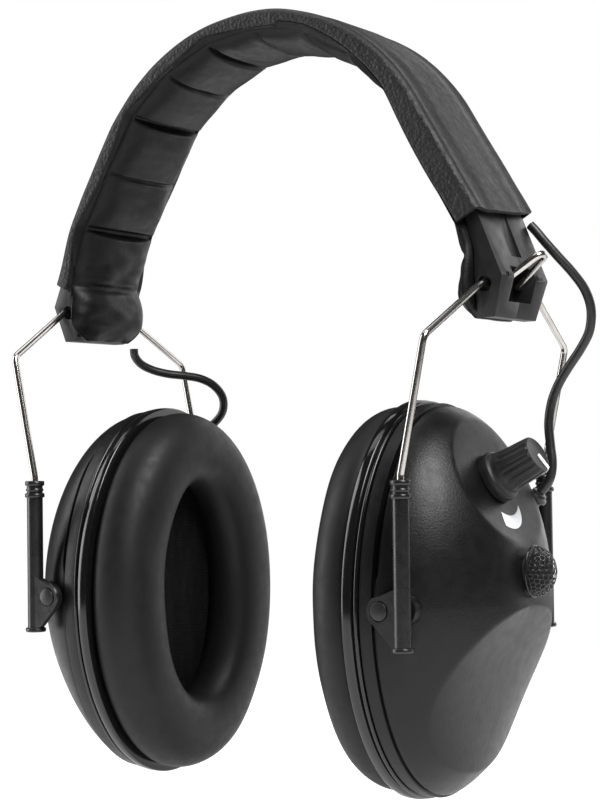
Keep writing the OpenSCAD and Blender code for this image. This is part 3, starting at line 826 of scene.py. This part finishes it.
def add_cushion(side):
    rim_b, rim_a = RING_B - 1.5, RING_A - 1.7
    points = [Vector((w, 0, d)) for w, d in CUSHION]
    line = catmull(points, 4)
    n = 168
    rings = []
    for q in line:
        b = EAR_B + (rim_b - EAR_B) * q.x
        a = EAR_A + (rim_a - EAR_A) * q.x
        ring = []
        for j in range(n):
            t = 2 * math.pi * j / n
            y, z = b * math.cos(t), a * math.sin(t)
            soft = smoothstep(13.5, 9, q.z)
            swell = 0.45 * soft * noise.noise(Vector((y * 0.05, z * 0.05, SIDES[side] * 3 + q.z * 0.05)))
            ring.append((SEAL_X + q.z + swell, y, CUP_Z + z))
        rings.append(mirrored(side, ring))
    verts, faces = skin(rings, close_ends=False, wrap=True)
    cushion = mesh_object(side + "_ear_cushion", verts, faces, "cushion_skin", side + "_cup", 60)
    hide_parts(side + "_cushion")


def add_liner(side):
    """Cloth-faced foam in the ear opening, slightly crowned and creased."""
    x0, x1 = span(side + "_foam", 0) if side == "right" else [-v for v in span(side + "_foam", 0)][::-1]
    b, a = span(side + "_foam", 1)[1], RING_A - 14.5
    n, count = 96, 26
    rings = []
    for k in range(1, count + 1):
        c = k / count
        ring = []
        for x, y, z in oval_ring(x0, 0, n, b, a):
            y, z = y * c, CUP_Z + (z - CUP_Z) * c
            fold = 0.5 * noise.noise(Vector((y * 0.11, z * 0.07, 5 * SIDES[side])))
            fold += 0.5 * noise.noise(Vector((y * 0.30, z * 0.12, 2.0)))
            ring.append((x0 + 0.5 - 0.7 * (1 - c * c) + fold * (1 - c ** 6), y, z))
        rings.append(mirrored(side, ring))
    for x in (x1 - 1.0, x1 - 0.2):
        rings.append(mirrored(side, oval_ring(x, 0, n, b, a)))
    verts, faces = skin(rings)
    liner = mesh_object(side + "_ear_liner", verts, faces, "liner_cloth", side + "_cup", 60)
    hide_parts(side + "_foam")


def turned(name, profile, place, slot, body, n=64, wavy=None, crease=38):
    """A turned shape: radius and height pairs about the local Z axis of place."""
    rings = []
    for radius, height in profile:
        ring = []
        for j in range(n):
            t = 2 * math.pi * j / n
            r = radius - (wavy(t, height, radius) if wavy else 0)
            ring.append(place @ Vector((r * math.cos(t), r * math.sin(t), height)))
        rings.append(ring)
    verts, faces = skin(rings)
    return mesh_object(name, verts, faces, slot, body, crease)


def slider_profile():
    """Radius and height of the slider tube: foot, plain tube, three collars, and the bore for the wire."""
    radius, bore, low = 2.35, WIRE_R + 0.08, TUBE_LOW
    profile = [(2.6, low), (2.9, low + 0.1), (3.0, low + 0.35), (3.0, low + 0.95), (2.85, low + 1.2),
               (radius, low + 1.35)]
    for below, above, out in ((5.0, 3.6, 2.9), (3.1, 2.2, 2.6), (1.5, 0, 2.85)):
        start, end = TUBE_TOP - below, TUBE_TOP - above
        profile += [(radius, start), (out - 0.25, start + 0.03), (out, start + 0.25), (out, end - 0.25),
                    (out - 0.25, end - 0.03)]
        if above:
            profile.append((radius, end))
    return profile + [(bore + 0.3, TUBE_TOP), (bore, TUBE_TOP - 0.3), (bore, TUBE_TOP - 42.5)]


def add_slider(side, half):
    """A slider: the turned tube with its collars and bore, and the lug for the pivot pin."""
    body, far = side + "_sliders", -1 if half == "front" else 1
    at_tube = Matrix.Translation((SIDES[side] * TUBE_X, far * YOKE_Y, 0))
    tube = turned(f"{side}_tube_{half}_turned", slider_profile(), at_tube, "slider_plastic", body, 48,
                  crease=50)
    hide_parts(f"{side}_tube_{half}")
    # lug: round about the pin, then a hollow curve down to the tube's foot
    foot, round_r = TUBE_LOW + 1, 4
    outline = [(PIN_X + round_r * math.cos(t), CUP_Z + round_r * math.sin(t))
               for t in (math.radians(90 + 10 * k) for k in range(14))]
    outline += [(55.3, -163.6), (56.8, -165.0), (58.6, -166.9), (60.2, -168.6), (61.4, foot), (TUBE_X, foot),
                (TUBE_X, CUP_Z + 6.4)]
    centre_x, centre_z = TUBE_X - 2, CUP_Z - 1
    rings = []
    for y, inset in ((40.3, 0.25), (40.55, 0), (42.6, 0), (42.9, 0.25)):
        ring = []
        for x, z in outline:
            share = 1 - inset / math.hypot(x - centre_x, z - centre_z) if x < TUBE_X - 0.1 else 1
            ring.append((centre_x + (x - centre_x) * share, far * y, centre_z + (z - centre_z) * share))
        rings.append(mirrored(side, ring))
    verts, faces = skin(rings)
    lug = mesh_object(f"{side}_lug_{half}", verts, faces, "slider_plastic", body, 30)
    pin_r, head_r, head_y = 1.5, 2.8, 42.3
    at_pin = Matrix.Translation((SIDES[side] * PIN_X, 0, CUP_Z))
    at_pin = at_pin @ Matrix.Rotation(math.radians(-90 * far), 4, "X")
    hole = turned("hole", [(pin_r, 30), (pin_r, head_y), (head_r, head_y), (head_r, 50)], at_pin,
                  "slider_plastic", body, 48)
    cut(lug, hole, "DIFFERENCE")
    dress(lug, "slider_plastic")


def knob_place():
    return Matrix.Translation(KNOB_AT) @ Matrix.Rotation(math.radians(90 - KNOB_TILT), 4, "Y")


def add_knob():
    foot, top, grooves = 7.25, 14.8, 16
    skirt_top = 4.9

    def flute(t, height, radius):
        if not skirt_top < height < top - 0.25 or radius < 4.6:
            return 0
        wave = (math.cos(grooves * t + math.pi) + 1) / 2
        return 0.38 * wave ** 2.2 * smoothstep(skirt_top, skirt_top + 1.5, height)

    profile = [(0.4, -0.4), (foot - 0.3, -0.4), (foot - 0.05, -0.1), (foot, 1.1), (foot, 2.2),
               (foot - 0.15, 2.5), (foot - 0.6, 2.75), (foot - 0.95, 3.2), (foot - 1.1, 3.9),
               (foot - 1.15, 4.5), (6.0, 4.8), (5.95, 5.0), (5.9, 5.4), (5.85, 6.0), (5.8, 7.5),
               (5.68, 9.5), (5.55, 12.0), (5.42, 13.8), (5.32, top - 0.4), (5.05, top - 0.1),
               (4.7, top), (4.55, top - 0.08), (0.3, top - 0.08)]
    knob = turned("volume_knob_grip", profile, knob_place(), "knob_plastic", "volume_knob", 216, flute, 30)
    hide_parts("volume_knob")
    # white pointer: a bar along the end face that wraps over its edge
    half, start, points_to = 0.78, 0.2, 29
    bar = [(start, -0.04, 0.6), (start + 0.25, 0.12, 1.0), (4.9, 0.12, 1.0), (5.2, 0, 1.0), (5.42, -0.4, 1.0),
           (5.54, -1.6, 1.0), (5.6, -2.9, 0.9), (5.56, -3.0, 0.7)]
    inner = [(5.1, -2.9), (5.05, -2.6), (5.0, -1.6), (4.8, -0.4), (4.6, -0.3), (4.4, -0.2),
             (start + 0.3, -0.15), (start + 0.1, -0.1)]
    place = knob_place() @ Matrix.Rotation(math.radians(points_to), 4, "Z")
    rings = []
    for (r, h, w), (ri, hi) in zip(bar, inner[::-1]):
        corners = ((r, -half * w, h), (r, half * w, h), (ri, half * w, hi), (ri, -half * w, hi))
        rings.append([place @ Vector((x, y, top + z)) for x, y, z in corners])
    verts, faces = skin(rings)
    pointer = mesh_object("knob_pointer_inlay", verts, faces, "white_mark", "volume_knob", 50)
    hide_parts("knob_pointer")


def add_volume_mark():
    """Tapered crescent printed on the upper facet, around the knob's axis."""
    place = knob_place()
    inner, wide = 10.9, 4.3
    start, end = -22.5, 39.0
    count = 30
    rows = []
    for k in range(count + 1):
        t = k / count
        angle = math.radians(start + (end - start) * t)
        width = wide * (1 - t ** 2.2) + 0.05
        row = []
        for m in range(5):
            r = inner + 0.5 * math.sin(math.pi * t) + width * m / 4
            p = place @ Vector((r * math.cos(angle), r * math.sin(angle), 0))
            row.append((p.y, p.z))
        rows.append(row)
    verts, faces = [], []
    for lift in (0.07, -0.1):
        for row in rows:
            verts += [(DOME_X + dome_height(y, z) + lift, y, z) for y, z in row]
    layer = (count + 1) * 5
    for k in range(count):
        for m in range(4):
            a = k * 5 + m
            faces += [(a, a + 5, a + 6, a + 1), (layer + a, layer + a + 1, layer + a + 6, layer + a + 5)]
    rim = [k * 5 for k in range(count + 1)] + [count * 5 + m for m in range(1, 5)]
    rim += [k * 5 + 4 for k in range(count - 1, -1, -1)] + [3, 2, 1]
    for a, b in zip(rim, rim[1:] + rim[:1]):
        faces.append((a, b, layer + b, layer + a))
    mesh_object("volume_mark", verts, faces, "white_mark", "right_cup", 60)


def add_mic(side):
    """The oval ball of hexagonal wire mesh with dark foam behind it."""
    pitch, reach, thickness, foam_share, rim_r = 1.55, 9.8, 0.29, 0.78, 0.28
    shape = bmesh.new()
    corners = {}

    def on_ball(p):
        r = math.hypot(p[0], p[1]) / reach
        turn = r * math.pi / 2
        c = math.sin(turn) / max(r, 1e-6) / reach
        place = (MIC_X + MIC_H * math.cos(turn), MIC_B * p[0] * c, MIC_Z + MIC_A * p[1] * c)
        key = (round(p[0], 3), round(p[1], 3))
        if key not in corners:
            corners[key] = shape.verts.new(Vector(mirrored(side, [place])[0]) * MM)
        return corners[key]

    radius = pitch / math.sqrt(3)
    for i in range(-9, 10):
        for j in range(-9, 10):
            centre = (pitch * (i + 0.5 * (j % 2)), pitch * j * math.sqrt(3) / 2)
            if math.hypot(*centre) > reach - radius * 0.8:
                continue
            ring = [(centre[0] + radius * math.sin(math.radians(60 * k)),
                     centre[1] + radius * math.cos(math.radians(60 * k))) for k in range(6)]
            shape.faces.new([on_ball(p) for p in ring])
    data = bpy.data.meshes.new("mesh")
    shape.to_mesh(data)
    shape.free()
    made = bpy.data.objects.new(side + "_mic_wire_mesh", data)
    bpy.context.scene.collection.objects.link(made)
    wires = made.modifiers.new("wires", "WIREFRAME")
    wires.thickness = thickness * MM
    wires.use_boundary = True
    wires.use_even_offset = False
    round_off = made.modifiers.new("round", "SUBSURF")
    round_off.levels = 1
    applied(made)
    finish_mesh(made.data, 80)
    dress(made, "black_mesh")
    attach(made, side + "_cup")
    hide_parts(side + "_mic_mesh")
    # foam ball behind the wires, and the rim that holds them
    rings = []
    n = 48
    for k in range(13):
        turn = math.pi / 2 * k / 12
        c = max(math.cos(turn), 0.02) * foam_share
        rings.append(mirrored(side, [(MIC_X + 0.1 + 0.8 * MIC_H * math.sin(turn),
                                      MIC_B * c * math.cos(2 * math.pi * j / n),
                                      MIC_Z + MIC_A * c * math.sin(2 * math.pi * j / n)) for j in range(n)]))
    verts, faces = skin(rings)
    mesh_object(side + "_mic_foam", verts, faces, "foam", side + "_cup", 60)
    rings = []
    for k in range(72):
        t = 2 * math.pi * k / 72
        out = Vector((0, math.cos(t), math.sin(t)))
        centre = Vector((MIC_X - 0.1, MIC_B * math.cos(t), MIC_Z + MIC_A * math.sin(t)))
        rings.append(mirrored(side, [centre + rim_r * (math.cos(w) * out + math.sin(w) * Vector((1, 0, 0)))
                                     for w in (2 * math.pi * m / 10 for m in range(10))]))
    verts, faces = skin(rings, close_ends=False, wrap=True)
    mesh_object(side + "_mic_rim", verts, faces, "black_mesh", side + "_cup", 80)


def corner(a, c, b, radius, steps):
    """Arc that replaces the corner c between a and b."""
    u, v = (a - c).normalized(), (b - c).normalized()
    half = math.acos(max(-1, min(1, u.dot(v)))) / 2
    middle = c + (u + v).normalized() * radius / math.sin(half)
    p = c + u * radius / math.tan(half) - middle
    q = c + v * radius / math.tan(half) - middle
    wide = math.pi - 2 * half
    return [middle + (p * math.sin((1 - k / steps) * wide) + q * math.sin(k / steps * wide)) / math.sin(wide)
            for k in range(steps + 1)]


def add_wire(side):
    """One length of spring wire: leg, shoulder, axle, loop, axle, shoulder, leg."""
    loop_out, tilt = 21, math.radians(36.7)
    half = [Vector((TUBE_X, YOKE_Y, WIRE_LOW)), Vector((TUBE_X, YOKE_Y, TUBE_TOP + 1.2)),
            Vector((71.2, YOKE_Y, -88.6)), Vector((PIVOT_X, 15, PIVOT_Z)), Vector((PIVOT_X, 5.4, PIVOT_Z))]
    front = [Vector((p.x, -p.y, p.z)) for p in half]
    loop = Vector((PIVOT_X + loop_out * math.cos(tilt), 0, PIVOT_Z + loop_out * math.sin(tilt)))
    knots = front + [loop] + half[::-1]
    bends = [0, 3, 3, 2.5, 2.2, 2.4, 2.2, 2.5, 3, 3, 0]
    path = [knots[0]]
    for i in range(1, len(knots) - 1):
        path += corner(knots[i - 1], knots[i], knots[i + 1], bends[i], 10)
    path.append(knots[-1])
    rings = [mirrored(side, ring) for ring in tube_rings(path, WIRE_R, 20)]
    verts, faces = skin(rings)
    wire = mesh_object(side + "_yoke_wire", verts, faces, "bright_wire", side + "_yoke", 60)
    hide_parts(side + "_wire")


GLAND_AT = (69.2, 22, -133.6)


def add_gland(side):
    """Ribbed, tapered sleeve where the cable enters the cup."""
    profile = [(1.45, -4.8), (2.25, -4.8), (2.25, 1.2), (3.1, 1.6), (3.2, 1.9), (3.15, 2.7), (2.7, 3.0),
               (2.3, 3.1), (2.2, 3.3), (2.35, 3.5), (2.3, 3.8), (1.95, 3.95), (1.45, 4.0)]
    turn, lean = 12, 40
    place = Matrix.Translation(GLAND_AT) @ Matrix.Rotation(math.radians(turn), 4, "Z")
    place = place @ Matrix.Rotation(math.radians(lean), 4, "Y")
    if side == "left":
        place = Matrix.Scale(-1, 4, (1, 0, 0)) @ place
    gland = turned(side + "_cable_gland", profile, place, "cable_rubber", side + "_cup", 40)
    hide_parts(side + "_gland")


# ---- stage ----
def add_stage():
    """A round pale floor, low enough to clear the cups with the sliders pulled out."""
    low, radius, n = CUP_LOW - 26, 620, 96
    angles = [2 * math.pi * k / n for k in range(n)]
    rim = [(radius * math.cos(t), radius * math.sin(t), low) for t in angles]
    data = bpy.data.meshes.new("floor")
    data.from_pydata([Vector(v) * MM for v in rim], [], [tuple(range(n))])
    floor = bpy.data.objects.new("floor", data)
    floor.data.materials.append(floor_paint().material)
    bpy.context.scene.collection.objects.link(floor)


def add_light(name, at, aim, size, power, size_y=None):
    data = bpy.data.lights.new(name, "AREA")
    data.shape = "RECTANGLE"
    data.size = size
    data.size_y = size_y or size
    data.energy = power
    light = bpy.data.objects.new(name, data)
    light.location = at
    light.rotation_euler = (Vector(aim) - Vector(at)).to_track_quat("-Z", "Y").to_euler()
    bpy.context.scene.collection.objects.link(light)


def add_lights():
    """Soft boxes in dim surroundings that look white from the camera, as a white sweep does."""
    world = bpy.data.worlds.new("studio")
    bpy.context.scene.world = world
    world.use_nodes = True
    tree = world.node_tree
    dim = tree.nodes["Background"]
    dim.inputs["Color"].default_value = (1, 1, 1, 1)
    dim.inputs["Strength"].default_value = 0.05
    white = tree.nodes.new("ShaderNodeBackground")
    white.inputs["Color"].default_value = (1, 1, 1, 1)
    white.inputs["Strength"].default_value = 1.0
    path = tree.nodes.new("ShaderNodeLightPath")
    choice = tree.nodes.new("ShaderNodeMixShader")
    tree.links.new(path.outputs["Is Camera Ray"], choice.inputs[0])
    tree.links.new(dim.outputs[0], choice.inputs[1])
    tree.links.new(white.outputs[0], choice.inputs[2])
    tree.links.new(choice.outputs[0], tree.nodes["World Output"].inputs["Surface"])
    middle = (0, 0, -0.1)
    add_light("key", (0.45, -0.20, 0.43), middle, 0.30, 7.5, 0.45)
    add_light("top", (-0.25, 0.05, 0.75), middle, 0.6, 2.4)
    add_light("left", (-0.75, -0.35, 0.12), middle, 0.45, 6.0, 0.9)
    add_light("back", (0.30, 0.90, 0.20), (0.3, 0, 0.1), 1.3, 5.6, 0.8)


def dress_frame():
    """Every CAD node that still shows gets its procedural material."""
    slots = {p["node"]: p["material_slot"] for p in frame["record"]["subparts"]}
    for node, made in frame["nodes"].items():
        made.data.materials.clear()
        made.data.materials.append(LOOKS[slots[node]].material)


def main():
    scene = bpy.context.scene
    scene.view_settings.view_transform = "Standard"
    add_camera()
    for side in SIDES:
        add_cable(side)
    dress_frame()
    add_cover()
    add_pad()
    for side in SIDES:
        for half in ("front", "rear"):
            rounded_copy(f"{side}_block_{half}", 0.35, "headband", "block_plastic")
            add_slider(side, half)
        rounded_copy(side + "_pins", 0.15, side + "_sliders", "slider_plastic")
        add_wire(side)
        add_shell(side)
        add_ring(side)
        add_cushion(side)
        add_liner(side)
        add_mic(side)
        add_gland(side)
    add_knob()
    add_volume_mark()
    add_stage()
    add_lights()


main()
